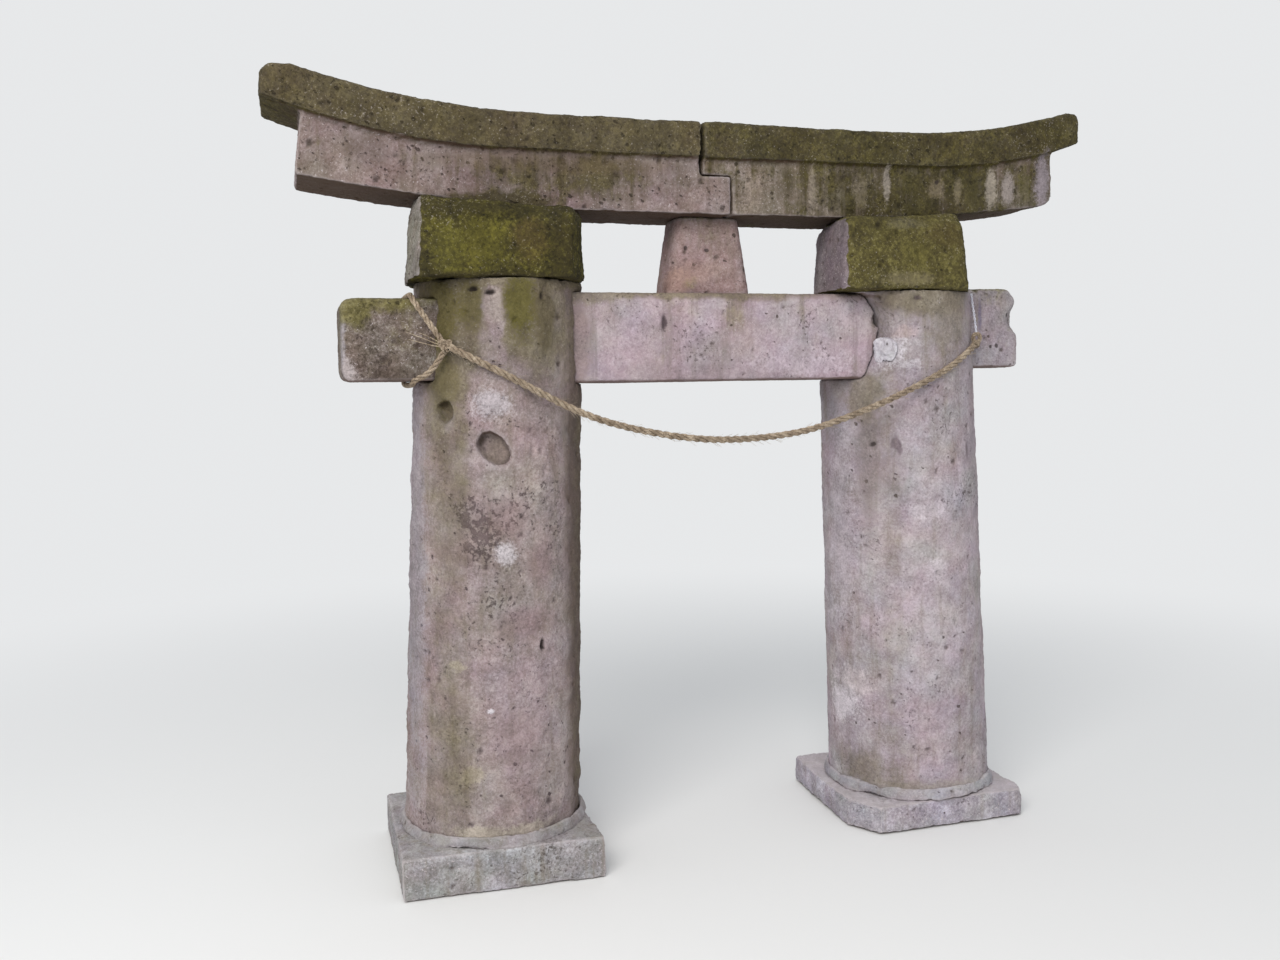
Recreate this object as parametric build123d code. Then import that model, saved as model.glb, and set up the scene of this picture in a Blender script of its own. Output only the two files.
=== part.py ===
from build123d import *
from math import cos, radians, sin, sqrt, tan
import os

# Old stone shrine gate: two leaning round pillars, a warped two-stone lintel, a tie beam
# with separate end stubs, and a straw rope slung across the front.
# Millimetres. X runs along the gate, Y away from the viewer, Z up from the ground.

# Lintel: the ledge runs past the beam under it, and both rise towards the ends
lintel_reach_left = 1437
lintel_reach_right = 1379
lintel_bottom = 2110
lintel_bottom_flat = 350
lintel_bottom_radius = 6060
ledge_bottom = 2290
ledge_bottom_flat = 690
ledge_bottom_radius = 2250
ledge_top = 2409
ledge_top_flat = 600
ledge_top_radius = 2700
ledge_depth = 340
ledge_slant_left = -10
ledge_corner = 36
ledge_edge_round = 16
beam_depth = 300
beam_reach_left = 1345
beam_slant_left = -25
beam_reach_right = 1276
beam_slant_right = -4
beam_corner_left = 10
beam_corner_right = 44

# Joint between the lintel's two stones: down, across, and down again
joint_x = -66
joint_step_x = 39
joint_step_height = 2237
joint_gap = 8
joint_bed = 2

# The middle of the bay lies off the middle of the lintel
bay_x = (lintel_reach_left - lintel_reach_right) / 2

# Pillars: tapered, leaning towards each other
pillar_foot_spacing = 1560
pillar_lean = 0.0363
pillar_foot_radius = 288
pillar_neck_radius = 267

# Plinths, given by their corners on the ground, measured from each pillar's foot
plinth_height_left = 138
plinth_height_right = 105
plinth_edge = 12
plinth_outline_left = [(-335, -306), (309, -323), (298, 318), (-330, 322)]
plinth_outline_right = [(-275, -306), (290, -304), (318, -262), (322, 323), (-320, 323), (-344, 80), (-346, -190)]

# Mortar laid round each pillar's foot
collar_height = 46
collar_spread = 24
collar_top_spread = 5

# Caps: rough blocks under the lintel, given by their outlines measured from the pillar's
# axis at foot and head, anticlockwise from the front left corner. Their sides stay full up
# to a shoulder and lean in above it
cap_bottom_left = 1890
cap_bottom_right = 1865
cap_foot_left = [(-290, -270), (181, -270), (255, -130), (269, 60), (225, 270), (-240, 270), (-288, 150), (-303, -80)]
cap_head_left = [(-268, -178), (200, -178), (226, -80), (235, 50), (200, 205), (-205, 205), (-250, 120), (-264, -40)]
cap_foot_right = [(-318, -270), (140, -272), (276, -50), (280, 110), (200, 268), (-190, 255), (-313, 0)]
cap_head_right = [(-250, -180), (130, -180), (205, -50), (214, 90), (160, 205), (-150, 205), (-226, -60)]
cap_overrun = 50
cap_shoulder = 0.74
cap_shoulder_lean = 0.32
cap_corner = 24

# Tie beam: its right end lies bare in the broken mortise, and how far it stops short of
# the right pillar's axis is given at its lower edge, its nose and its upper edge
tie_bottom = 1567
tie_top = 1857
tie_depth = 310
tie_edge = 14
tie_end_low = 210
tie_end_nose = 147
tie_end_nose_height = 1734
tie_end_high = 206
tenon_length = 130
crack_width = 5

# The broken side of the mortise slopes back from the beam's end to the pillar's skin
spall_depth = 130
spall_run = 62

# Beam ends outside the pillars, separate stones at their own heights
stub_left_reach = 1225
stub_left_bottom = 1580
stub_left_top = 1833
stub_left_depth = 290
stub_left_corner = 30
stub_right_reach = 1146
stub_right_bottom = 1603
stub_right_top = 1882
stub_right_depth = 276
stub_right_chamfer = 36
stub_right_corner = 14
stub_edge = 12

# Strut between tie beam and lintel
strut_x = -16
strut_foot_width = 288
strut_foot_depth = 176
strut_head_width = 216
strut_head_depth = 150
strut_corner = 34

# Sockets cut in the left pillar: height, turn from the front towards the bay, half length,
# half width, slant down towards the bay, depth
sockets_left = [(1484, -47.6, 34, 33, 0, 34), (1367, -11.4, 61, 41, 45, 42)]

# Mortar smeared over the broken side of the mortise, beside the beam's end
patch_height = 1658
patch_wide = 100
patch_tall = 110
patch_thick = 7
patch_bed = 16

# Straw rope
rope_thick = 24
loop_thick = 20
tail_thick = 6
string_thick = 7
loop_clearance = 0.5
loop_stand_off = 12
loop_belly = (-40, 24, -82)
loop_belly_radius = 100
knot_height = 1685
knot_turn = -42.3
knot_off = 25.5
knot_size = (27, 21, 25)
eye_height = 1704
eye_turn = 49
eye_off = 20.5
eye_radius = 17
eye_thick = 13

# The rope's way between knot and eye, with x from the middle of the bay: round the left
# pillar's front, down and up across the bay, and round the right pillar's front
rope_route = [
    (-827, -289, 1634),
    (-708, -309, 1570),
    (-536, -304, 1478),
    (-393, -302, 1428),
    (-197, -300, 1388),
    (-25, -300, 1374),
    (183, -301, 1388),
    (326, -303, 1420),
    (513, -307, 1483),
    (675, -308, 1551),
    (816, -290, 1617),
]

# The stray strand's way, measured from the knot
tail_route = [(-10, 18, 3), (-58, 38, 24), (-96, 46, 36), (-136, 52, 52)]


def rise(x, flat, radius):
    """How far a lintel line has risen at x, measured from the middle of the bay."""
    past = max(0, abs(x) - flat)
    return radius - sqrt(radius**2 - past**2)


def foot_x(side):
    return bay_x + side * pillar_foot_spacing / 2


def plinth_height(side):
    return plinth_height_left if side < 0 else plinth_height_right


def cap_bottom(side):
    return cap_bottom_left if side < 0 else cap_bottom_right


def axis_x(side, z):
    """Where a pillar's leaning axis stands at a height."""
    return foot_x(side) - side * pillar_lean * (z - plinth_height(side))


def shaft_radius(side, z):
    low = plinth_height(side)
    share = (z - low) / (cap_bottom(side) - low)
    return pillar_foot_radius + share * (pillar_neck_radius - pillar_foot_radius)


def shaft(side, low, high, extra=0):
    """A stretch of a pillar, thicker all round by extra."""
    ends = [
        Plane((axis_x(side, z), 0, z)) * Circle(shaft_radius(side, z) + extra)
        for z in (low, high)
    ]
    return loft(ends)


def side_plate(outline, depth):
    """An outline in X and Z, given thickness equally to front and back."""
    face = Plane.XZ * outline
    return extrude(face, amount=depth / 2, both=True)


def bowed_line(x_from, x_to, level, flat, radius):
    """A lintel line: level over the middle, and an arc that rises to each end."""
    def at(x):
        return (bay_x + x, level + rise(x, flat, radius))

    left = ThreePointArc(at(x_from), at((x_from - flat) / 2), at(-flat))
    middle = Line(at(-flat), at(flat))
    right = ThreePointArc(at(flat), at((x_to + flat) / 2), at(x_to))
    return [left, middle, right]


def edges_across(shape, x):
    """The edges that run from front to back at x."""
    return ShapeList(e for e in shape.edges().filter_by(Axis.Y) if abs(e.center().X - x) < 0.5)


def closed_face(lower, upper):
    """The face between two lines that both run from left to right."""
    left_end = Line(lower[0] @ 0, upper[0] @ 0)
    right_end = Line(lower[-1] @ 1, upper[-1] @ 1)
    return make_face(lower + upper + [left_end, right_end])


def lintel_underside():
    """Everything above the lintel's lower line, to cut the caps to their seat."""
    under = bowed_line(-beam_reach_left, beam_reach_left, lintel_bottom, lintel_bottom_flat, lintel_bottom_radius)
    high = ledge_top + ledge_depth
    over = [Line((bay_x - beam_reach_left, high), (bay_x + beam_reach_left, high))]
    return side_plate(closed_face(under, over), 4 * ledge_depth)


def lintel_whole():
    """Ledge and beam of both lintel stones, before the joint parts them."""
    under = bowed_line(-beam_reach_left, beam_reach_right, lintel_bottom, lintel_bottom_flat, lintel_bottom_radius)
    seat = bowed_line(
        -beam_reach_left - beam_slant_left,
        beam_reach_right + beam_slant_right,
        ledge_bottom,
        ledge_bottom_flat,
        ledge_bottom_radius,
    )
    beam = side_plate(closed_face(under, seat), beam_depth)
    beam = fillet(edges_across(beam, bay_x - beam_reach_left), beam_corner_left)
    beam = fillet(edges_across(beam, bay_x + beam_reach_right), beam_corner_right)

    low = bowed_line(
        -lintel_reach_left,
        lintel_reach_right,
        ledge_bottom,
        ledge_bottom_flat,
        ledge_bottom_radius,
    )
    high = bowed_line(
        -lintel_reach_left - ledge_slant_left,
        lintel_reach_right,
        ledge_top,
        ledge_top_flat,
        ledge_top_radius,
    )
    ledge = side_plate(closed_face(low, high), ledge_depth)
    ledge = fillet(edges_across(ledge, bay_x - lintel_reach_left - ledge_slant_left), ledge_corner)
    right_tip = edges_across(ledge, bay_x + lintel_reach_right).sort_by(Axis.Z)[-1:]
    ledge = fillet(right_tip, ledge_corner)
    crown = ledge.faces().filter_by(lambda f: f.normal_at().Z > 0.7).edges()
    long_edges = [e for e in crown if abs(abs(e.center().Y) - ledge_depth / 2) < 1]
    ledge = fillet(long_edges, ledge_edge_round)
    return beam + ledge


def lintel_side(side):
    """The room on one side of the stepped joint."""
    far = side * 2 * lintel_reach_left
    gap = side * joint_gap / 2
    step = joint_step_height + side * joint_bed / 2
    corners = [
        (far, 0),
        (bay_x + joint_step_x + gap, 0),
        (bay_x + joint_step_x + gap, step),
        (bay_x + joint_x + gap, step),
        (bay_x + joint_x + gap, 2 * ledge_top),
        (far, 2 * ledge_top),
    ]
    return side_plate(make_face(Polyline(*corners, close=True)), 2 * ledge_depth)


def cap_ring(side, z, share):
    """The cap's outline at a height, its share of the way from foot to head."""
    foot = cap_foot_left if side < 0 else cap_foot_right
    head = cap_head_left if side < 0 else cap_head_right
    corners = [(a + share * (c - a), b + share * (d - b)) for (a, b), (c, d) in zip(foot, head)]
    plate = make_face(Polyline(*corners, close=True))
    return Pos(axis_x(side, z), 0, z) * fillet(plate.vertices(), cap_corner)


def cap(side):
    """A rough block that narrows upwards, cut off along the lintel's lower line."""
    low = cap_bottom(side)
    high = lintel_bottom + cap_overrun
    shoulder = low + cap_shoulder * (high - low)
    rings = [
        cap_ring(side, low, 0),
        cap_ring(side, shoulder, cap_shoulder_lean),
        cap_ring(side, high, 1),
    ]
    return loft(rings, ruled=True) - lintel_underside()


def plinth(side):
    outline = plinth_outline_left if side < 0 else plinth_outline_right
    corners = [(foot_x(side) + x, y) for x, y in outline]
    block = extrude(make_face(Polyline(*corners, close=True)), plinth_height(side))
    top = block.edges().group_by(Axis.Z)[-1]
    return fillet(top, plinth_edge)


def collar(side):
    """Mortar round the pillar's foot, sloping down to the plinth."""
    low = plinth_height(side)
    high = low + collar_height
    ends = [
        Plane((axis_x(side, z), 0, z)) * Circle(shaft_radius(side, z) + out)
        for z, out in ((low, collar_spread), (high, collar_top_spread))
    ]
    return loft(ends) - shaft(side, low, high + 1)


def tie_end():
    """Where the beam's broken end lies at its lower edge, its nose and its upper edge."""
    low = axis_x(1, tie_bottom) - tie_end_low
    nose = axis_x(1, tie_end_nose_height) - tie_end_nose
    high = axis_x(1, tie_top) - tie_end_high
    return low, nose, high


def tie_beam_face(grow=0):
    """The beam's outline from the front, its broken end larger by grow."""
    left = axis_x(-1, tie_bottom) + shaft_radius(-1, tie_bottom) - tenon_length
    low, nose, high = [x + grow for x in tie_end()]
    below = (tie_bottom + tie_end_nose_height) / 2
    above = (tie_top + tie_end_nose_height) / 2
    sides = [
        Line((left, tie_top), (left, tie_bottom)),
        Line((left, tie_bottom), (low, tie_bottom)),
        ThreePointArc((low, tie_bottom), (low + 0.66 * (nose - low), below), (nose, tie_end_nose_height)),
        ThreePointArc((nose, tie_end_nose_height), (high + 0.76 * (nose - high), above), (high, tie_top)),
        Line((high, tie_top), (left, tie_top)),
    ]
    return make_face(sides)


def tie_beam():
    beam = side_plate(tie_beam_face(), tie_depth)
    long_edges = beam.edges().filter_by(Axis.X)
    return fillet(long_edges, tie_edge)


def broken_mortise():
    """The beam's place in the right pillar, open to the front and broken wider there."""
    front = tie_depth / 2
    bed = Plane.XZ.offset(-front) * tie_beam_face(crack_width)
    inner = Plane.XZ.offset(front) * tie_beam_face(crack_width)
    outer = Plane.XZ.offset(front + spall_depth) * tie_beam_face(crack_width + spall_run)
    return extrude(bed, amount=tie_depth) + loft([inner, outer], ruled=True)


def stub(side):
    """One end of the tie line outside a pillar, with its tenon."""
    reach = stub_left_reach if side < 0 else stub_right_reach
    low = stub_left_bottom if side < 0 else stub_right_bottom
    high = stub_left_top if side < 0 else stub_right_top
    depth = stub_left_depth if side < 0 else stub_right_depth
    outer = bay_x + side * reach
    inner = axis_x(side, low) + side * (shaft_radius(side, low) - tenon_length)
    block = Pos((inner + outer) / 2, 0, (low + high) / 2) * Box(abs(outer - inner), depth, high - low)
    end = block.edges().filter_by(Axis.Y).sort_by(Axis.X)
    end = end[:2] if side < 0 else end[-2:]
    end = end.sort_by(Axis.Z)
    if side < 0:
        return fillet(end, stub_left_corner)
    block = chamfer(end[-1:], stub_right_chamfer)
    foot = block.edges().filter_by(Axis.Y).sort_by(Axis.X)[-2:].sort_by(Axis.Z)[:1]
    return fillet(foot, stub_right_corner)


def stub_left():
    block = stub(-1)
    long_edges = block.edges().filter_by(Axis.X)
    return fillet(long_edges, stub_edge)


def stub_right():
    block = stub(1)
    long_edges = block.edges().filter_by(Axis.X)
    return fillet(long_edges, stub_edge) - cap(1)


def strut():
    levels = [
        (tie_top, strut_foot_width, strut_foot_depth),
        (lintel_bottom, strut_head_width, strut_head_depth),
    ]
    ends = [
        Plane((bay_x + strut_x, 0, z)) * RectangleRounded(width, depth, strut_corner)
        for z, width, depth in levels
    ]
    return loft(ends)


def socket(height, turn, half_long, half_wide, slant, depth):
    """An oval hollow in the left pillar's surface, with a rounded floor."""
    angle = radians(turn)
    radius = shaft_radius(-1, height)
    outward = Vector(sin(angle), -cos(angle), 0)
    mouth = Vector(axis_x(-1, height), 0, height) + outward * (radius + 10)
    frame = Plane(origin=mouth, x_dir=(cos(angle), sin(angle), 0), z_dir=-outward)
    pocket = extrude(frame * (Rot(0, 0, slant) * Ellipse(half_long, half_wide)), amount=depth + 10)
    floor = pocket.faces().sort_by(Axis(mouth, -outward))[-1]
    return fillet(floor.edges(), 0.4 * depth)


def pillar_left():
    stone = shaft(-1, plinth_height_left, cap_bottom_left)
    for hollow in sockets_left:
        stone = stone - socket(*hollow)
    return stone - tie_beam() - stub_left()


def pillar_right():
    stone = shaft(1, plinth_height_right, cap_bottom_right)
    return stone - broken_mortise() - stub_right()


def mortar_patch():
    """Mortar that clings to the broken side of the mortise."""
    low, nose, _ = tie_end()
    share = (patch_height - tie_bottom) / (tie_end_nose_height - tie_bottom)
    slope = Vector(spall_run, -spall_depth, 0).normalized()
    outward = Vector(slope.Y, -slope.X, 0)
    edge = Vector(low + share * (nose - low) + crack_width, -tie_depth / 2, patch_height)
    bed = edge + slope * (patch_wide / 2) - outward * patch_bed
    frame = Plane(origin=bed, x_dir=slope, z_dir=outward)
    prism = extrude(frame * Ellipse(patch_wide / 2, patch_tall / 2), amount=patch_bed + patch_thick)
    return prism - pillar_right() - tie_beam()


def tube(route, thick, radii):
    """A round cord along a route whose corners are tangent arcs."""
    path = FilletPolyline(*route, radius=radii)
    ring = Plane(origin=path @ 0, z_dir=path % 0) * Circle(thick / 2)
    return sweep(ring, path=path)


def easy_radii(route):
    """For each corner, the largest arc that its two runs leave room for."""
    radii = []
    for before, here, after in zip(route, route[1:], route[2:]):
        run_in = here - before
        run_out = after - here
        half_turn = radians(run_in.get_angle(run_out)) / 2
        radii.append(0.45 * min(run_in.length, run_out.length) / tan(half_turn))
    return radii


def beside_pillar(side, height, turn, off):
    """A point off a pillar's surface, turned from the front towards the right."""
    reach = shaft_radius(side, height) + off
    return Vector(axis_x(side, height) + reach * sin(radians(turn)), -reach * cos(radians(turn)), height)


def knot_place():
    return beside_pillar(-1, knot_height, knot_turn, knot_off)


def eye_place():
    return beside_pillar(1, eye_height, eye_turn, eye_off)


def knot():
    """The rope's knot, a lump beside the left pillar."""
    ball = scale(Sphere(1), by=knot_size)
    return Pos(knot_place()) * ball


def eye():
    """The small loop that ends the rope on the right."""
    ring = Torus(eye_radius, eye_thick / 2)
    return Pos(eye_place()) * Rot(90, 0, 24) * ring


def rope_span():
    start = knot_place() + Vector(12, -10, -5)
    end = eye_place() + Vector(-10, -14, -eye_radius - 2)
    between = [Vector(bay_x + x, y, z) for x, y, z in rope_route]
    route = [start, *between, end]
    radii = easy_radii(route)
    print("rope runs", [round((b - a).length) for a, b in zip(route, route[1:])])
    print("rope radii", [round(r) for r in radii])
    return tube(route, rope_thick, radii) - knot() - eye()


def rope_loop():
    """A turn of rope round the left stub, from the knot and back to it."""
    out = loop_thick / 2 + loop_clearance
    stub_middle = (stub_left_bottom + stub_left_top) / 2
    loop_x = axis_x(-1, stub_middle) - shaft_radius(-1, stub_middle) - out - loop_stand_off
    front = -stub_left_depth / 2 - out
    back = stub_left_depth / 2 + out
    top = stub_left_top + out
    bottom = stub_left_bottom - out
    cut = 0.58 * (stub_edge + out)
    route = [
        knot_place(),
        (loop_x, front, top - cut),
        (loop_x, front + cut, top),
        (loop_x, back - cut, top),
        (loop_x, back, top - cut),
        (loop_x, back, bottom + cut),
        (loop_x, back - cut, bottom),
        (loop_x, front + cut, bottom),
        (loop_x, front, bottom + cut),
        knot_place() + Vector(*loop_belly),
        knot_place() + Vector(3, 3, -6),
    ]
    bend = 0.82 * (stub_edge + out)
    return tube(route, loop_thick, [bend] * 8 + [loop_belly_radius]) - knot()


def rope_tail():
    route = [knot_place() + Vector(*step) for step in tail_route]
    return tube(route, tail_thick, easy_radii(route)) - knot()


def hanging_string():
    """The string that holds the eye, caught between the right stub and the cap."""
    foot = eye_place() + Vector(0, 2, eye_radius)
    top = (foot.X + 6, -stub_right_depth / 2 - string_thick, cap_bottom_right - 2)
    line = Line(foot, top)
    ring = Plane(origin=line @ 0, z_dir=line % 0) * Circle(string_thick / 2)
    return sweep(ring, path=line) - eye()


nodes = {
    "plinth_left": plinth(-1),
    "plinth_right": plinth(1),
    "mortar_collar_left": collar(-1),
    "mortar_collar_right": collar(1),
    "pillar_left": pillar_left(),
    "pillar_right": pillar_right(),
    "mortar_patch": mortar_patch(),
    "cap_left": cap(-1),
    "cap_right": cap(1),
    "lintel_left": lintel_whole() & lintel_side(-1),
    "lintel_right": lintel_whole() & lintel_side(1),
    "tie_beam": tie_beam(),
    "tie_stub_left": stub_left(),
    "tie_stub_right": stub_right(),
    "strut": strut(),
    "rope_span": rope_span(),
    "rope_loop": rope_loop(),
    "rope_knot": knot(),
    "rope_tail": rope_tail(),
    "rope_eye": eye(),
    "hanging_string": hanging_string(),
}

os.makedirs("parts", exist_ok=True)
for name, shape in nodes.items():
    export_step(shape, f"parts/{name}.step")
    print(name, len(shape.solids()), round(shape.volume / 1e6, 3), "litres")
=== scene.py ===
import math

import bpy
import bmesh
from mathutils import Matrix, Vector


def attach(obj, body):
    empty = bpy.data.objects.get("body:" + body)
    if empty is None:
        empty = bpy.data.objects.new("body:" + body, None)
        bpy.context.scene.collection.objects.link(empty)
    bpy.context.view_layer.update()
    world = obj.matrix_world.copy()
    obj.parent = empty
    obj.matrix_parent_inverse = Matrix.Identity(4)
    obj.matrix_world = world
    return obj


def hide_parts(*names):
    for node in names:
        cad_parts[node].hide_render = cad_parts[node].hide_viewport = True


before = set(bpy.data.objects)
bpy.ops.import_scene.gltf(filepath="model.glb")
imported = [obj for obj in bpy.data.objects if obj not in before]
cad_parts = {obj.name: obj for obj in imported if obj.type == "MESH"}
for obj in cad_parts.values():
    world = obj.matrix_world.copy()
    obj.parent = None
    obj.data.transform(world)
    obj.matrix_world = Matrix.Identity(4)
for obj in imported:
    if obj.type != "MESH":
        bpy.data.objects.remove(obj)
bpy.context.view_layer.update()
scene = bpy.context.scene
scene.view_settings.view_transform = "Standard"

# The gate in its own frame, in metres: X along it, Y away from the viewer, Z up
gate = {
    "bayX": 0.029,
    "pillarSpacing": 1.56,
    "pillarLean": 0.0363,
    "plinthTopLeft": 0.138,
    "plinthTopRight": 0.105,
    "ledgeBottom": 2.290,
    "ledgeFlat": 0.69,
    "ledgeRadius": 2.25,
}

# A factor on the stones' cell size and the rope's step; 1.0 keeps them as given
coarser = 1.0
fullTurn = 2 * math.pi


def acting(operation, reflected=False):
    # One of Python's operators, as a Math node
    def act(self, other):
        pair = (other, self) if reflected else (self, other)
        return self.graph.math(operation, *pair)

    return act


# A socket that Python's own operators work on
class Wire:
    def __init__(self, graph, socket):
        self.graph = graph
        self.socket = socket

    def __neg__(self):
        return self * -1

    __add__, __radd__ = acting("ADD"), acting("ADD", True)
    __sub__, __rsub__ = acting("SUBTRACT"), acting("SUBTRACT", True)
    __mul__, __rmul__ = acting("MULTIPLY"), acting("MULTIPLY", True)
    __truediv__, __rtruediv__ = acting("DIVIDE"), acting("DIVIDE", True)


class Graph:
    def __init__(self, tree):
        self.tree = tree

    def add(self, kind, inputs=None, **settings):
        node = self.tree.nodes.new(kind)
        for name, value in settings.items():
            setattr(node, name, value)
        for name, value in (inputs or {}).items():
            self.feed(node.inputs[name], value)
        return node

    def feed(self, socket, value):
        # A node stands for its first output
        if isinstance(value, bpy.types.Node):
            value = self.take(value)
        if isinstance(value, Wire):
            self.tree.links.new(value.socket, socket)
        elif socket.type == "RGBA" and len(value) == 3:
            socket.default_value = (*value, 1)
        else:
            socket.default_value = value

    def take(self, node, output=0):
        return Wire(self, node.outputs[output])

    def math(self, operation, *values):
        return self.take(self.add("ShaderNodeMath", dict(enumerate(values)), operation=operation))

    def limit(self, value):
        # Held between 0 and 1
        settings = {"operation": "ADD", "use_clamp": True}
        return self.take(self.add("ShaderNodeMath", {0: value, 1: 0.0}, **settings))

    def vector(self, operation, *values):
        node = self.add("ShaderNodeVectorMath", dict(enumerate(values)), operation=operation)
        return self.take(node, 1 if operation in ("LENGTH", "DOT_PRODUCT") else 0)

    def scaled(self, vector, factor):
        inputs = {0: vector, "Scale": factor}
        return self.take(self.add("ShaderNodeVectorMath", inputs, operation="SCALE"))

    def split(self, vector):
        node = self.add("ShaderNodeSeparateXYZ", {0: vector})
        return [self.take(node, i) for i in range(3)]

    def joined(self, x, y, z):
        return self.take(self.add("ShaderNodeCombineXYZ", {0: x, 1: y, 2: z}))

    def noise(self, vector, scale, detail=4.0, rough=0.55, bend=0.0, output=0):
        inputs = {"Vector": vector, "Scale": scale, "Detail": detail, "Roughness": rough}
        inputs["Distortion"] = bend
        return self.take(self.add("ShaderNodeTexNoise", inputs), output)

    def askew(self, vector):
        # Turned, so that no pattern runs square with the stones
        inputs = {"Vector": vector, "Rotation": (0.6, 0.9, 0.4)}
        return self.take(self.add("ShaderNodeVectorRotate", inputs, rotation_type="EULER_XYZ"))

    def shaken(self, vector, scale, amount, detail=3.0):
        # The same place, pushed about so that round shapes turn ragged
        noise = self.noise(self.askew(vector), scale, detail, 0.6, output=1)
        push = self.vector("SUBTRACT", noise, (0.5, 0.5, 0.5))
        return self.vector("ADD", vector, self.scaled(push, amount))

    def cells(self, vector, scale):
        # How far the middle of the cell lies, and three chance values for the cell
        node = self.add("ShaderNodeTexVoronoi", {"Vector": vector, "Scale": scale})
        return self.take(node, "Distance"), self.split(self.take(node, "Color"))

    def ease(self, value, low, high):
        inputs = {"Value": value, "From Min": low, "From Max": high}
        return self.take(self.add("ShaderNodeMapRange", inputs, interpolation_type="SMOOTHSTEP"))

    def near(self, place, centre, size, outer=1.15, inner=0.7):
        # 1 inside an egg round centre, 0 outside it
        off = self.vector("SUBTRACT", place, centre)
        return self.ease(self.vector("LENGTH", self.vector("DIVIDE", off, size)), outer, inner)

    def mix(self, factor, first, second, blend="MIX"):
        settings = {"data_type": "RGBA", "blend_type": blend, "clamp_factor": True}
        return self.take(self.add("ShaderNodeMix", {0: factor, 6: first, 7: second}, **settings), 2)

    def ramp(self, value, places, colours):
        # Three colours, one after another
        node = self.add("ShaderNodeValToRGB", {0: value})
        marks = node.color_ramp.elements
        marks.new(0.5)
        for mark, place, colour in zip(marks, places, colours):
            mark.position = place
            mark.color = (*colour, 1)
        return self.take(node)

    def stored(self, geometry, name, value, kind="FLOAT"):
        # Keeps a value on each point, for the material to read
        inputs = {"Geometry": geometry, "Name": name, "Value": value}
        settings = {"data_type": kind, "domain": "POINT"}
        return self.add("GeometryNodeStoreNamedAttribute", inputs, **settings)

    def kept(self, name, output="Fac"):
        return self.take(self.add("ShaderNodeAttribute", attribute_name=name), output)

    def read(self, kind, output=0):
        # A value from a node that takes none
        return self.take(self.add(kind), output)


def tint(red, green, blue):
    # A colour as a paint chart gives it, 0 to 255, made linear
    def one(value):
        value = value / 255
        return value / 12.92 if value <= 0.04045 else ((value + 0.055) / 1.055) ** 2.4

    return (one(red), one(green), one(blue))


def tints(colours):
    return [tint(*colour) for colour in colours]


def linked(name, data):
    # A new object in the scene
    thing = bpy.data.objects.new(name, data)
    scene.collection.objects.link(thing)
    return thing


view = {
    "place": (-1.3482, -3.7445, 1.55),
    "yaw": 0.2930,
    "pitch": -0.0805,
    "roll": -0.0159,
    "focalPixels": 1150.0,
    "imageWidth": 1280,
    "sensorWidth": 36,
}


def makeCamera():
    data = bpy.data.cameras.new("photoCamera")
    data.sensor_width = view["sensorWidth"]
    data.lens = view["focalPixels"] * view["sensorWidth"] / view["imageWidth"]
    camera = linked("photoCamera", data)
    yaw, pitch, roll = view["yaw"], view["pitch"], view["roll"]
    ahead = math.cos(pitch)
    forward = Vector((math.sin(yaw) * ahead, math.cos(yaw) * ahead, math.sin(pitch)))
    level = Vector((math.cos(yaw), -math.sin(yaw), 0))
    above = level.cross(forward)
    right = level * math.cos(roll) + above * math.sin(roll)
    up = above * math.cos(roll) - level * math.sin(roll)
    turn = Matrix((right, up, -forward)).transposed()
    camera.matrix_world = Matrix.Translation(view["place"]) @ turn.to_4x4()
    scene.camera = camera


light = {
    "sky": 0.66,
    "skyColour": (0.93, 0.96, 1.0),
    "backdrop": (0.80, 0.81, 0.82),
    "keyPlace": (-3.6, -5.2, 5.6),
    "keyAim": (0, 0, 1.2),
    "keyWatts": 420,
    "keySize": 4.5,
    "keyColour": (1.0, 0.975, 0.94),
    "floorColour": (0.84, 0.84, 0.83),
    "floorHalf": 60,
    "floorFadesFrom": 1.5,
    "floorFadesTo": 6.0,
}


def makeLight():
    world = bpy.data.worlds.new("softSky")
    world.use_nodes = True
    scene.world = world
    world.node_tree.nodes.clear()
    g = Graph(world.node_tree)
    rays = g.read("ShaderNodeLightPath", "Is Camera Ray")
    seen = g.add("ShaderNodeBackground", {0: light["backdrop"]})
    sky = g.add("ShaderNodeBackground", {0: light["skyColour"], 1: light["sky"]})
    inputs = {0: rays, 1: sky, 2: seen}
    g.add("ShaderNodeOutputWorld", {0: g.add("ShaderNodeMixShader", inputs)})
    data = bpy.data.lights.new("keyLight", "AREA")
    data.energy = light["keyWatts"]
    data.size = light["keySize"]
    data.color = light["keyColour"]
    lamp = linked("keyLight", data)
    place = Vector(light["keyPlace"])
    turn = (Vector(light["keyAim"]) - place).to_track_quat("-Z", "Y").to_matrix()
    lamp.matrix_world = Matrix.Translation(place) @ turn.to_4x4()


def newMaterial(name):
    material = bpy.data.materials.new(name)
    material.use_nodes = True
    material.node_tree.nodes.clear()
    return material, Graph(material.node_tree)


def closeMaterial(g, colour, roughness, height, depth, strength=1.0):
    bump = g.add("ShaderNodeBump", {"Strength": strength, "Distance": depth, "Height": height})
    inputs = {"Base Color": colour, "Roughness": roughness, "Normal": bump}
    inputs["Specular IOR Level"] = 0.3
    shader = g.add("ShaderNodeBsdfPrincipled", inputs)
    g.add("ShaderNodeOutputMaterial", {0: shader})


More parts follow.
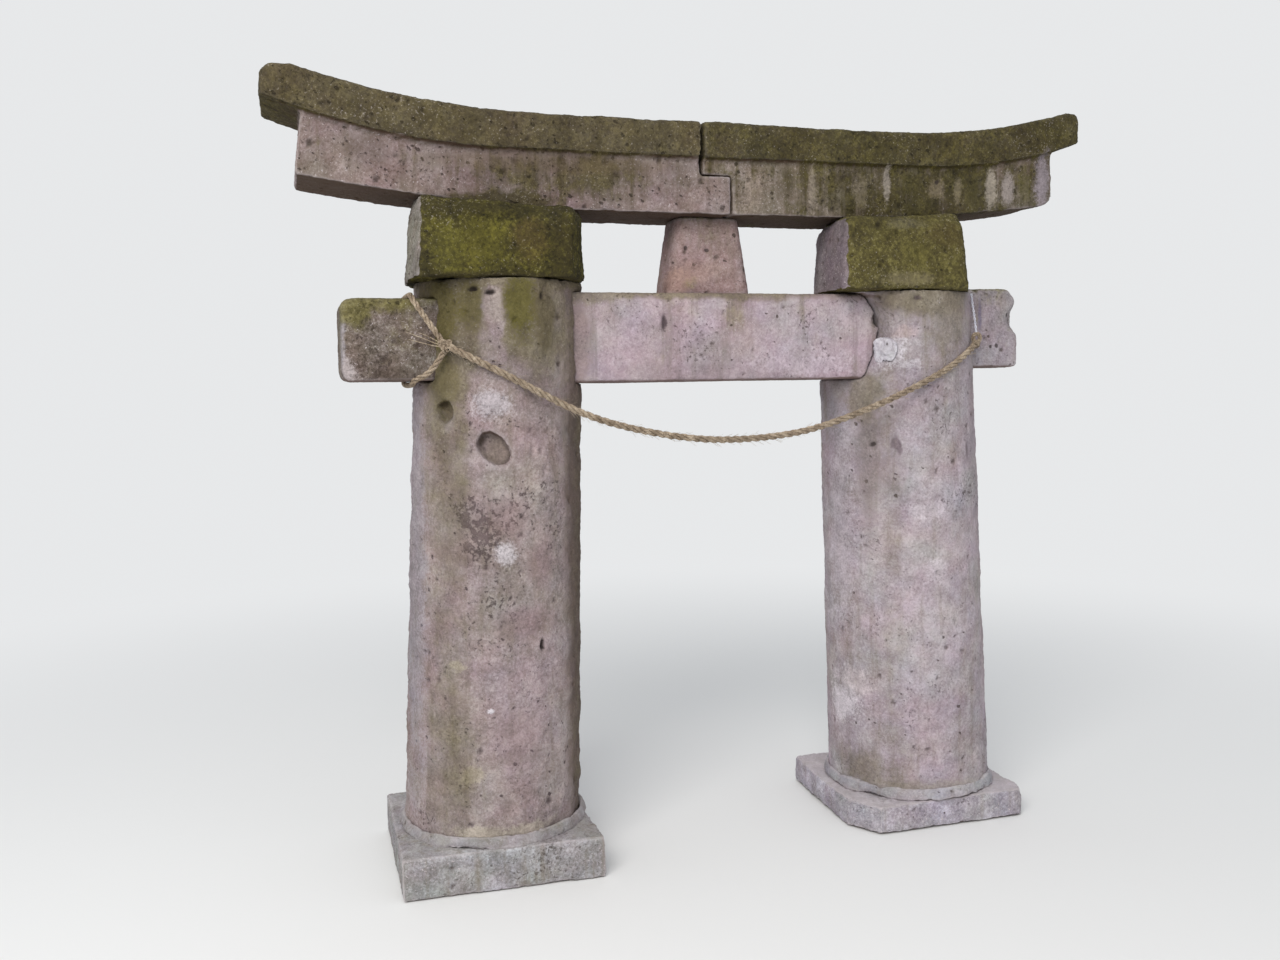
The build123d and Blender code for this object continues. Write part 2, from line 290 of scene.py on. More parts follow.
def newTree(name, inputs):
    # A Geometry Nodes tree with these inputs and a material
    tree = bpy.data.node_groups.new(name, "GeometryNodeTree")
    for label, kind in {"Geometry": "Geometry", **inputs, "Material": "Material"}.items():
        tree.interface.new_socket(label, in_out="INPUT", socket_type="NodeSocket" + kind)
    tree.interface.new_socket("Geometry", in_out="OUTPUT", socket_type="NodeSocketGeometry")
    g = Graph(tree)
    given = g.add("NodeGroupInput")
    return tree, g, given, [g.take(given, label) for label in inputs]


def closeTree(g, given, geometry):
    real = g.add("GeometryNodeRealizeInstances", {"Geometry": geometry})
    inputs = {"Geometry": real, "Material": g.take(given, "Material")}
    g.add("NodeGroupOutput", {0: g.add("GeometryNodeSetMaterial", inputs)})


def smoothed(g, geometry):
    return g.add("GeometryNodeSetShadeSmooth", {"Geometry": geometry})


def grow(thing, tree, values):
    # Adds a tree to a thing, with its inputs filled in
    modifier = thing.modifiers.new(tree.name, "NODES")
    modifier.node_group = tree
    for item in tree.interface.items_tree:
        if item.item_type == "SOCKET" and item.in_out == "INPUT" and item.name in values:
            modifier[item.identifier] = values[item.name]


def shownMesh(thing):
    # The surface or line of a thing as Blender draws it
    bpy.context.view_layer.update()
    shown = thing.evaluated_get(bpy.context.evaluated_depsgraph_get())
    return bpy.data.meshes.new_from_object(shown)


def plainMesh(thing, name):
    # The finished surface of a thing with modifiers, as an object of its own
    mesh = shownMesh(thing)
    mesh.name = name
    piece = linked(name, mesh)
    bpy.data.objects.remove(thing)
    return piece


def place(piece, nodeName):
    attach(piece, "root")
    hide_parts(nodeName)
    print(piece.name, len(piece.data.polygons), "faces")
    return piece


makeCamera()
makeLight()
print("camera and light done")

# The straw rope, in metres, with its colours from 0 to 255. The route's points are the solid's
# own, and those by the pillars lie a little further in, so that the rope rests on the stone
rope = {
    "thick": 0.024,
    "route": [
        (-0.8813, -0.2282, 1.680), (-0.798, -0.271, 1.634), (-0.679, -0.293, 1.570),
        (-0.507, -0.292, 1.478), (-0.364, -0.291, 1.428), (-0.168, -0.290, 1.388),
        (0.004, -0.290, 1.374), (0.212, -0.291, 1.388), (0.355, -0.292, 1.420),
        (0.542, -0.293, 1.483), (0.704, -0.291, 1.551), (0.845, -0.273, 1.617),
        (0.9594, -0.2039, 1.685),
    ],
    "layLength": 0.088,
    # How far strands and yarns lie from their middle, as shares of the rope's thickness
    "strandReach": 0.255,
    "yarnReach": 0.135,
    "yarnRadius": 0.105,
    "yarnLay": -0.45,
    "knotPlace": (-0.8933, -0.2182, 1.685),
    "knotSize": (0.0060, 0.0050, 0.0056),
    "knotThick": 0.0175,
    "eyePlace": (0.9694, -0.1899, 1.704),
    "eyeRadius": 0.0145,
    "eyeThick": 0.017,
    "whippingFrom": (0.9485, -0.2120, 1.6760),
    "whippingTo": (0.9600, -0.2030, 1.6880),
    "whippingRadius": 0.0125,
    "whippingThick": 0.006,
    # The turn round the left stub, from the knot over its top, down its back and up again
    "loop": [
        (-0.8933, -0.2182, 1.6850), (-0.9858, -0.1565, 1.8315), (-0.9858, -0.1445, 1.8450),
        (-0.9862, 0.1445, 1.8450), (-0.9858, 0.1570, 1.8320), (-0.9862, 0.1570, 1.5820),
        (-0.9858, 0.1445, 1.5680), (-0.9862, -0.1445, 1.5680), (-0.9858, -0.1570, 1.5820),
        (-0.9333, -0.1942, 1.6030), (-0.8903, -0.2152, 1.6790),
    ],
    "loopThick": 0.020,
    # Three loose straws at the knot
    "tails": [
        [
            (-0.8990, -0.2060, 1.686), (-0.9250, -0.1900, 1.694), (-0.9513, -0.1802, 1.708),
            (-0.9830, -0.1745, 1.7195), (-1.0060, -0.1735, 1.7285),
        ],
        [
            (-0.8990, -0.2060, 1.690), (-0.9190, -0.1930, 1.702), (-0.9480, -0.1830, 1.719),
            (-0.9700, -0.1790, 1.726),
        ],
        [
            (-0.8970, -0.2050, 1.680), (-0.9240, -0.1920, 1.685), (-0.9560, -0.1840, 1.694),
            (-0.9990, -0.1760, 1.706),
        ],
    ],
    "tailThick": 0.0052,
    # The string that holds the eye up by the right stub
    "string": [
        (0.9694, -0.1882, 1.716), (0.9704, -0.1800, 1.757), (0.9722, -0.1640, 1.806),
        (0.9754, -0.1450, 1.862),
    ],
    "stringThick": 0.009,
    "hairs": 420,
    "hairReach": 0.36,
    "hairLengths": (0.012, 0.034),
    "hairSeed": 5,
    "straw": ((88, 74, 58), (152, 135, 116), (200, 185, 164)),
    "looseStraw": ((140, 122, 100), (190, 174, 150), (222, 210, 190)),
    "cotton": ((176, 176, 192), (216, 216, 226), (238, 238, 244)),
}


def splinePoints(name, route):
    # A smooth line that the route's points steer
    data = bpy.data.curves.new(name, "CURVE")
    data.dimensions = "3D"
    data.resolution_u = 16
    spline = data.splines.new("NURBS")
    spline.points.add(len(route) - 1)
    for mark, spot in zip(spline.points, route):
        mark.co = (*spot, 1)
    spline.order_u = 3
    spline.use_endpoint_u = True
    curve = linked(name, data)
    mesh = shownMesh(curve)
    points = [tuple(v.co) for v in mesh.vertices]
    bpy.data.objects.remove(curve)
    bpy.data.meshes.remove(mesh)
    return points


def wound(g, curve, count, radius, layLength):
    # Copies of a line, laid round it side by side like the strands of a rope
    inputs = {"Geometry": curve, "Amount": count}
    copies = g.add("GeometryNodeDuplicateElements", inputs, domain="SPLINE")
    along = g.read("GeometryNodeSplineParameter", "Length")
    angle = along * fullTurn / layLength + g.take(copies, 1) * fullTurn / count
    normal = g.read("GeometryNodeInputNormal")
    tangent = g.read("GeometryNodeInputTangent")
    aside = g.vector("CROSS_PRODUCT", tangent, normal)
    across = g.scaled(normal, g.math("COSINE", angle) * radius)
    over = g.scaled(aside, g.math("SINE", angle) * radius)
    inputs = {"Geometry": copies, "Offset": g.vector("ADD", across, over)}
    return g.add("GeometryNodeSetPosition", inputs)


def skinned(g, curve, corners, radius):
    # A thin tube along a line
    ring = g.add("GeometryNodeCurvePrimitiveCircle", {"Resolution": corners, "Radius": radius})
    inputs = {"Curve": curve, "Profile Curve": ring, "Fill Caps": True}
    return g.add("GeometryNodeCurveToMesh", inputs)


def twistTree():
    # Strands laid round a line, and yarns round each strand
    inputs = {"Thickness": "Float", "Lay Length": "Float", "Strands": "Int", "Yarns": "Int"}
    inputs |= {"Step": "Float", "Taper": "Float"}
    tree, g, given, (thick, lay, strands, yarns, step, taper) = newTree("twist", inputs)
    line = g.add("GeometryNodeMeshToCurve", {"Mesh": given})
    inputs = {"Curve": line, "Length": step}
    even = g.add("GeometryNodeResampleCurve", inputs, mode="LENGTH")
    factor = g.read("GeometryNodeSplineParameter", "Factor")
    slack = 1 - taper * factor
    loose = g.noise(g.read("GeometryNodeInputPosition"), 60, 2, 0.5) * 0.16 + 0.92
    reach = thick * rope["strandReach"] * slack * loose
    strandCurves = wound(g, even, strands, reach, lay)
    reach = thick * rope["yarnReach"] * slack
    yarnCurves = wound(g, strandCurves, yarns, reach, lay * rope["yarnLay"])
    inputs = {"Curve": yarnCurves, "Radius": thick * rope["yarnRadius"] * slack}
    sized = g.add("GeometryNodeSetCurveRadius", inputs)
    length = g.read("GeometryNodeSplineParameter", "Length")
    skin = skinned(g, g.stored(sized, "along", length), 5, 1.0)
    own = g.add("GeometryNodeInputNamedAttribute", {"Name": "radius"}, data_type="FLOAT")
    g.feed(skin.inputs["Scale"], own)
    closeTree(g, given, smoothed(g, skin))
    return tree


def hairTree():
    # Short straws that stand off a line at chance angles
    inputs = {"Count": "Int", "Reach": "Float", "Shortest": "Float", "Longest": "Float"}
    tree, g, given, taken = newTree("hairs", {**inputs, "Seed": "Int"})
    count, reach, shortest, longest, seed = taken
    line = g.add("GeometryNodeMeshToCurve", {"Mesh": given})
    inputs = {"Curve": line, "Count": count}
    spread = g.add("GeometryNodeResampleCurve", inputs, mode="COUNT")
    points = g.add("GeometryNodeCaptureAttribute")
    points.capture_items.new("VECTOR", "Tangent")
    g.feed(points.inputs["Geometry"], spread)
    g.feed(points.inputs["Tangent"], g.read("GeometryNodeInputTangent"))
    tangent = g.take(points, "Tangent")

    def chance(limit, offset):
        inputs = {0: (-limit,) * 3, 1: (limit,) * 3, "Seed": seed + offset}
        return g.take(g.add("FunctionNodeRandomValue", inputs, data_type="FLOAT_VECTOR"))

    outward = g.vector("NORMALIZE", g.vector("CROSS_PRODUCT", chance(1, 1), tangent))
    inputs = {"Geometry": points, "Offset": g.scaled(outward, reach)}
    move = g.add("GeometryNodeSetPosition", inputs)
    aside = g.scaled(g.vector("ADD", outward, chance(0.4, 2)), 0.55)
    inputs = {"Vector": g.vector("ADD", tangent, aside)}
    turn = g.add("FunctionNodeAlignRotationToVector", inputs, axis="Z")
    straight = g.add("GeometryNodeCurvePrimitiveLine", {"Start": (0, 0, 0), "End": (0, 0, 1)})
    straw = skinned(g, straight, 3, 0.014)
    inputs = {2: shortest, 3: longest, "Seed": seed}
    size = g.take(g.add("FunctionNodeRandomValue", inputs, data_type="FLOAT"), 1)
    inputs = {"Points": move, "Instance": straw, "Rotation": turn}
    inputs["Scale"] = g.joined(size, size, size)
    closeTree(g, given, g.add("GeometryNodeInstanceOnPoints", inputs))
    return tree


def meshFrom(shape, name):
    mesh = bpy.data.meshes.new(name)
    shape.to_mesh(mesh)
    shape.free()
    return mesh


def lineObject(name, lines, closed=False):
    shape = bmesh.new()
    for points in lines:
        marks = [shape.verts.new(spot) for spot in points]
        for first, second in zip(marks, marks[1:]):
            shape.edges.new((first, second))
        if closed:
            shape.edges.new((marks[-1], marks[0]))
    return linked(name, meshFrom(shape, name))


def laidRope(nodeName, name, lines, thick, lay, counts, material, taper=0.0, closed=False):
    thing = lineObject(name + "Line", lines, closed)
    values = {"Thickness": thick, "Lay Length": lay, "Strands": counts[0], "Yarns": counts[1]}
    values |= {"Step": thick * 0.2 * coarser, "Taper": taper, "Material": material}
    grow(thing, ropeTwist, values)
    return place(plainMesh(thing, name), nodeName)


def strawMaterial(name, colours):
    material, g = newMaterial(name)
    here = g.read("ShaderNodeTexCoord", "Object")
    along = g.kept("along")
    fibre = g.noise(here, 420, 3, 0.6)
    broad = g.noise(here, 34, 4, 0.6)
    straw = g.noise(g.joined(along * 60, fibre * 2, broad), 1.4, 3, 0.6)
    colours = tints(colours)
    colour = g.ramp(fibre * 0.35 + broad * 0.3 + straw * 0.35, (0.36, 0.5, 0.62), colours)
    dirt = g.ease(g.noise(here, 9, 3, 0.5), 0.55, 0.75) * 0.35
    closeMaterial(g, g.mix(dirt, colour, colours[0]), 0.85, fibre, 0.0008, 0.7)
    return material


def trefoil(centre, size, steps=72):
    # The course of an overhand knot
    points = []
    for i in range(steps):
        t = fullTurn * i / steps
        x = (math.sin(t) + 2 * math.sin(2 * t)) * size[0]
        z = (math.cos(t) - 2 * math.cos(2 * t)) * size[2]
        y = -math.sin(3 * t) * size[1]
        points.append((centre[0] + x, centre[1] + y, centre[2] + z))
    return points


def ringPoints(centre, radius, steps=40):
    x, y, z = centre
    turns = [fullTurn * i / steps for i in range(steps)]
    return [(x + radius * math.cos(t), y, z + radius * math.sin(t)) for t in turns]


def coilPoints(start, end, radius, turns=3, steps=24):
    # A few turns round the line from start to end
    start, end = Vector(start), Vector(end)
    ahead = (end - start).normalized()
    aside = ahead.cross(Vector((0, 0, 1))).normalized()
    over = aside.cross(ahead)
    points = []
    for i in range(turns * steps + 1):
        t = fullTurn * i / steps
        spot = start.lerp(end, i / (turns * steps))
        points.append(tuple(spot + aside * radius * math.cos(t) + over * radius * math.sin(t)))
    return points


ropeTwist = twistTree()
hairs = hairTree()


def makeRope():
    straw = strawMaterial("strawFinish", rope["straw"])
    loose = strawMaterial("looseStraw", rope["looseStraw"])
    cotton = strawMaterial("cottonFinish", rope["cotton"])
    lay = rope["layLength"]
    line = splinePoints("ropeRoute", rope["route"])
    span = laidRope("rope_span", "ropeSpan", [line], rope["thick"], lay, (3, 4), straw)

    fuzzLine = lineObject("ropeHairLine", [line])
    shortest, longest = rope["hairLengths"]
    values = {"Count": rope["hairs"], "Reach": rope["thick"] * rope["hairReach"]}
    values |= {"Shortest": shortest, "Longest": longest, "Seed": rope["hairSeed"]}
    grow(fuzzLine, hairs, {**values, "Material": straw})
    fuzz = place(plainMesh(fuzzLine, "ropeHairs"), "rope_span")

    course = [trefoil(rope["knotPlace"], rope["knotSize"])]
    sizes = rope["knotThick"], lay * 0.7, (3, 3)
    knot = laidRope("rope_knot", "ropeKnot", course, *sizes, straw, closed=True)
    courses = [splinePoints("tailRoute", route) for route in rope["tails"]]
    sizes = rope["tailThick"], 0.02, (2, 2)
    tail = laidRope("rope_tail", "ropeTail", courses, *sizes, loose, taper=0.7)

    course = [ringPoints(rope["eyePlace"], rope["eyeRadius"])]
    sizes = rope["eyeThick"], lay * 0.55, (3, 3)
    eye = laidRope("rope_eye", "ropeEye", course, *sizes, straw, closed=True)
    course = [coilPoints(rope["whippingFrom"], rope["whippingTo"], rope["whippingRadius"])]
    sizes = rope["whippingThick"], 0.02, (2, 2)
    binding = laidRope("rope_eye", "ropeWhipping", course, *sizes, straw)

    course = [splinePoints("loopRoute", rope["loop"])]
    laidRope("rope_loop", "ropeLoop", course, rope["loopThick"], lay * 0.85, (3, 4), straw)
    course = [splinePoints("stringRoute", rope["string"])]
    laidRope("hanging_string", "hangingCotton", course, rope["stringThick"], 0.03, (2, 3), cotton)


makeRope()
print("rope done")


def spots(g, where, eggs):
    # How strongly a place lies in the listed eggs, added up
    total = 0.0
    for centre, size, strength in eggs:
        total = total + g.near(where, centre, size, 1.3, 0.2) * strength
    return total


def stoneMaterial(name, look):
    material, g = newMaterial(name)
    rest, pit, fold = g.kept("rest", "Vector"), g.kept("pit"), g.kept("fold")
    upright = g.vector("ADD", rest, look["seed"])
    here = g.askew(upright)
    facing = g.split(g.read("ShaderNodeTexCoord", "Normal"))
    dark, pale = tint(*look["dark"]), tint(*look["pale"])

    # Base tones: broad clouds, mottling, grain and streaks that run down
    broad = g.noise(here, 2.3, 4, 0.6)
    mottle = g.noise(here, 15, 9, 0.78)
    grain = g.noise(here, 120, 6, 0.8)
    streak = g.noise(g.vector("MULTIPLY", upright, (1, 1, 0.08)), 28, 6, 0.62, 0.3)
    mixed = mottle * 0.5 + broad * 0.2 + grain * 0.3
    colour = g.ramp(mixed, (0.39, 0.5, 0.6), tints(look["tones"]))
    streaked = g.ease(streak, 0.5, 0.68) * look["streaks"]
    colour = g.mix(streaked, colour, tint(*look["streakColour"]))
    colour = g.mix(0.14, colour, g.noise(here, 7, 5, 0.6, output=1), "OVERLAY")

    # Specks that gather in places, and ragged pits
    loose = g.shaken(rest, 13, 0.07, 4)
    clouds = (g.noise(here, 5, 5, 0.65) - 0.5) * 0.5
    worn = spots(g, loose, look["roughSpots"])
    crowd = clouds + worn * 0.3
    fine = g.noise(here, 95, 4, 0.72)
    coarse = g.noise(here, 38, 5, 0.75)
    line = 0.64 - look["specks"]
    lumps = g.noise(here, 24, 6, 0.7)
    uneven = coarse * 0.55 + fine * 0.25 + lumps * 0.2 + clouds + worn
    blotch = g.ease(uneven, line + 0.01, line + 0.05)
    speck = g.limit(g.ease(fine + crowd, line, line + 0.07) + blotch)
    bit = g.ease(g.noise(here, 150, 3, 0.7) - crowd * 0.6, 0.62, 0.70)
    far, tone = g.cells(g.shaken(g.vector("MULTIPLY", here, (1, 1, 0.7)), 80, 0.014), 66)
    wide = tone[1] * tone[2] * 0.34 + 0.09
    holed = g.ease(tone[0] - crowd, 1 - look["pits"], 1.03 - look["pits"])
    deep = g.limit(pit + g.ease(far - wide, 0.08, -0.06) * holed)
    colour = g.mix(bit * look["bits"], colour, pale)
    colour = g.mix(speck * look["speckDark"], colour, dark)
    colour = g.mix(deep * 0.8, colour, dark)

    # Painted shade on faces turned down, painted light on faces turned up, darker in the folds,
    # paler on the rims
    colour = g.mix(g.ease(-facing[2], 0.45, 0.85) * 0.9, colour, tint(*look["under"]))
    colour = g.mix(g.ease(facing[2], 0.5, 0.9) * look["paintedTopLight"], colour, pale)
    colour = g.mix(g.ease(fold, 0.12, 0.5) * 0.75, colour, tint(*look["foldColour"]))
    colour = g.mix(g.ease(fold, -0.15, -0.6) * look["rim"], colour, pale)

    # Marks that the photograph shows at one place, with eaten edges
    relief = (mixed - 0.5) * 3.4 + 1

    def painted(colour, marks, where):
        for centre, size, markColour, strength in marks:
            cover = g.near(where, centre, size, 1.4, 0.0) + (mixed - 0.5) * 2.6
            mark = g.scaled(tint(*markColour), relief)
            colour = g.mix(g.ease(cover, 0.25, 0.8) * strength, colour, mark)
        return colour

    colour = painted(colour, look["marks"], loose)

    # Moss and algae
    patchy = g.noise(here, 9, 8, 0.7)
    field = look["mossOver"](g, g.split(rest), facing) + spots(g, loose, look["mossSpots"])
    growth = patchy * 1.1 + (streak - 0.5) * look["mossStreak"] + 0.15 + mottle * 0.4 + field
    moss = g.ease(growth, *look["mossEdge"])
    tuft = g.noise(here, 75, 5, 0.75)
    depth = tuft * 0.45 + patchy * 0.25 + mottle * 0.3
    mossTone = g.ramp(depth, (0.38, 0.5, 0.61), tints(look["moss"]))
    mossTone = g.mix(g.limit(deep + speck * 0.6) * 0.65, mossTone, tint(*look["mossPit"]))
    mossTone = g.mix(bit * look["bits"] * 0.45, mossTone, pale)
    colour = g.mix(moss * look["mossStrength"], colour, mossTone)
    colour = painted(colour, look["algae"], loose)
    # Stains, and painted shade inside holes and dents
    colour = painted(colour, look["stainsAndShade"], g.shaken(rest, 30, 0.012, 3))

    bumps = mottle * 0.5 + grain * 0.5 + coarse * 0.5 + lumps * 0.8
    raised = moss * look["mossStrength"] * (tuft * 0.7 + 0.15)
    height = bumps - deep * 0.8 - speck * 0.35 + raised
    closeMaterial(g, colour, look["rough"], height, look["bumpDepth"], 0.9)
    return material


# They come from a stone's dictionary, Wave Size from its waveSize and so on
weatherInputs = {
    "Wave": "Float", "Wave Size": "Float", "Outward": "Float", "Grain": "Float",
    "Pit Depth": "Float", "Pit Size": "Float", "Pit Share": "Float", "Edge Wear": "Float",
    "Chip Wear": "Float", "Sink": "Float", "Seed": "Vector", "Blur": "Int",
}


def weatheringTree(name, dents):
    # Wears a finely divided block: eases its edges, waves its faces, opens pits and dents
    tree, g, given, taken = newTree(name, weatherInputs)
    wave, waveSize, outwardShare, grain, pitDepth, pitSize, *taken = taken
    pitShare, wear, chip, sink, seed, blurs = taken
    here = g.read("GeometryNodeInputPosition")
    normal = g.read("GeometryNodeInputNormal")
    geometry = g.stored(given, "rest", here, "FLOAT_VECTOR")

    where = g.vector("ADD", here, seed)
    inputs = {"Value": here, "Iterations": blurs}
    blur = g.add("GeometryNodeBlurAttribute", inputs, data_type="FLOAT_VECTOR")
    pull = g.vector("SUBTRACT", g.take(blur), here)
    fold = g.vector("DOT_PRODUCT", pull, normal) * 100
    chips = g.ease(g.noise(where, 11, 5, 0.65), 0.54, 0.66)
    pull = g.scaled(pull, wear + chips * chip)

    waves = g.noise(where, 1 / waveSize, 3, 0.5) - outwardShare
    rough = g.noise(where, 48, 5, 0.68) - 0.5
    far, tone = g.cells(g.shaken(where, 30, 0.02), 1 / pitSize)
    hollow = g.ease(far / (tone[1] * 0.25 + 0.16), 1.0, 0.3)
    pit = hollow * g.math("LESS_THAN", tone[0], pitShare)
    inward = waves * wave + rough * grain + pit * pitDepth
    for centre, size, depth in dents:
        inward = inward + g.near(here, centre, size, 1.0, 0.3) * depth
    push = g.vector("ADD", g.scaled(normal, -inward), pull)
    offset = g.vector("ADD", push, g.joined(0, 0, -sink))

    geometry = g.stored(g.stored(geometry, "pit", pit), "fold", fold)
    move = g.add("GeometryNodeSetPosition", {"Geometry": geometry, "Offset": offset})
    closeTree(g, given, smoothed(g, move))
    return tree


def makeStone(nodeName, own):
    # A joined copy of the node's surface, cut into small faces and worn
    look = {**stone, **own}
    first, *others = nodeName.split("_")
    pieceName = first + "".join(word.capitalize() for word in others) + "Stone"
    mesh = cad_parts[nodeName].data.copy()
    form = bmesh.new()
    form.from_mesh(mesh)
    bmesh.ops.remove_doubles(form, verts=form.verts, dist=0.00001)
    form.to_mesh(mesh)
    form.free()
    mesh.materials.clear()
    block = linked(nodeName + "Block", mesh)
    voxel = look["voxel"] * coarser
    cut = block.modifiers.new("cut", "REMESH")
    cut.mode = "VOXEL"
    cut.voxel_size = voxel
    look["blur"] = max(2, round(1.6 * (look["easeReach"] / voxel) ** 2))
    keys = {label: label[0].lower() + label[1:].replace(" ", "") for label in weatherInputs}
    values = {label: look[key] for label, key in keys.items()}
    values["Material"] = stoneMaterial(pieceName + "Finish", look)
    grow(block, weatheringTree(pieceName + "Weather", look["dents"]), values)
    return place(plainMesh(block, pieceName), nodeName)


def bareMoss(g, rest, facing):
    return facing[2] * 0.3 + 0.1


def pillarMoss(side, low, bands):
    # Thin all over, a little thicker at the top, and in bands that run up the stone
    def field(g, rest, facing):
        foot = gate["bayX"] + side * gate["pillarSpacing"] / 2
        off = rest[0] - foot + (rest[2] - low) * side * gate["pillarLean"]
        turn = g.math("ARCTAN2", off, -rest[1])
        total = g.ease(rest[2], 1.35, 1.9) * 0.12 + 0.1
        for middle, width, strength in bands:
            away = g.math("ABSOLUTE", turn - middle)
            total = total + g.ease(away, width, width * 0.3) * strength
        return total

    return field


def lintelMoss(amount):
    # Thick on the ledge, thinner on the beam below it
    def field(g, rest, facing):
        away = g.math("ABSOLUTE", rest[0] - gate["bayX"])
        past = g.math("MAXIMUM", away - gate["ledgeFlat"], 0.0)
        line = past * past * (0.5 / gate["ledgeRadius"]) + gate["ledgeBottom"]
        onLedge = g.ease(rest[2] - line, -0.008, 0.008)
        return onLedge * 0.75 + facing[2] * 0.15 + (1 - onLedge) * amount + 0.05

    return field


def capMoss(g, rest, facing):
    # None on the flanks that face the open side
    return 0.85 - g.ease(-facing[0], 0.55, 0.85) * 0.9 + facing[2] * 0.2


def cementMoss(g, rest, facing):
    return facing[2] * 0.12 + 0.1


def onFace(y, *rows):
    # Eggs whose middles lie on one upright face
    return [((x, y, z), (wide, deep, tall), *rest) for x, z, wide, deep, tall, *rest in rows]


# What every stone has where its own dictionary says nothing else, colours from 0 to 255.
# Dents, spots, marks, algae, stains and painted shade in holes are eggs: a middle, a size and what
# they do
stone = {
    "voxel": 0.008, "wave": 0.010, "waveSize": 0.30, "outward": 0.5, "grain": 0.006,
    "pitDepth": 0.0045, "pitSize": 0.036, "pitShare": 0.14, "edgeWear": 0.3, "chipWear": 0.9,
    "sink": 0.0, "easeReach": 0.017, "dents": [],
    "tones": ((126, 112, 108), (160, 145, 145), (190, 176, 178)),
    # The colour for faces turned down is painted shade
    "dark": (74, 62, 56), "pale": (208, 198, 200), "under": (112, 92, 84),
    # The share of pale on faces turned up is painted light
    "foldColour": (58, 50, 36), "paintedTopLight": 0.0, "rim": 0.3,
    "streaks": 0.3, "streakColour": (124, 112, 96),
    "bits": 0.45, "speckDark": 0.62, "specks": 0.0, "pits": 0.10, "roughSpots": [],
    "moss": ((66, 62, 28), (104, 97, 54), (140, 133, 84)), "mossPit": (40, 36, 16),
    "mossStrength": 0.85, "mossEdge": (1.05, 1.45), "mossStreak": 0.3, "mossSpots": [],
    "mossOver": bareMoss,
    "marks": [], "algae": [], "stainsAndShade": [],
    "rough": 0.93, "bumpDepth": 0.0045,
}

# Painted shade inside holes and dents
pitShade = (50, 42, 40)
paleLichen = (208, 202, 208)
# Keeps the joint between the lintel's stones as narrow as it is in the solids
jointSwell = ((0.06, 0, 2.29), (0.12, 0.7, 0.30), -0.0035)
collar = {
    "voxel": 0.006, "wave": 0.030, "waveSize": 0.09, "outward": 0.58, "sink": 0.010,
    "grain": 0.005, "pitShare": 0.05, "edgeWear": 0.8, "chipWear": 1.0, "easeReach": 0.022,
    "mossStrength": 0.5, "mossEdge": (1.0, 1.6), "pits": 0.03, "mossOver": cementMoss,
}

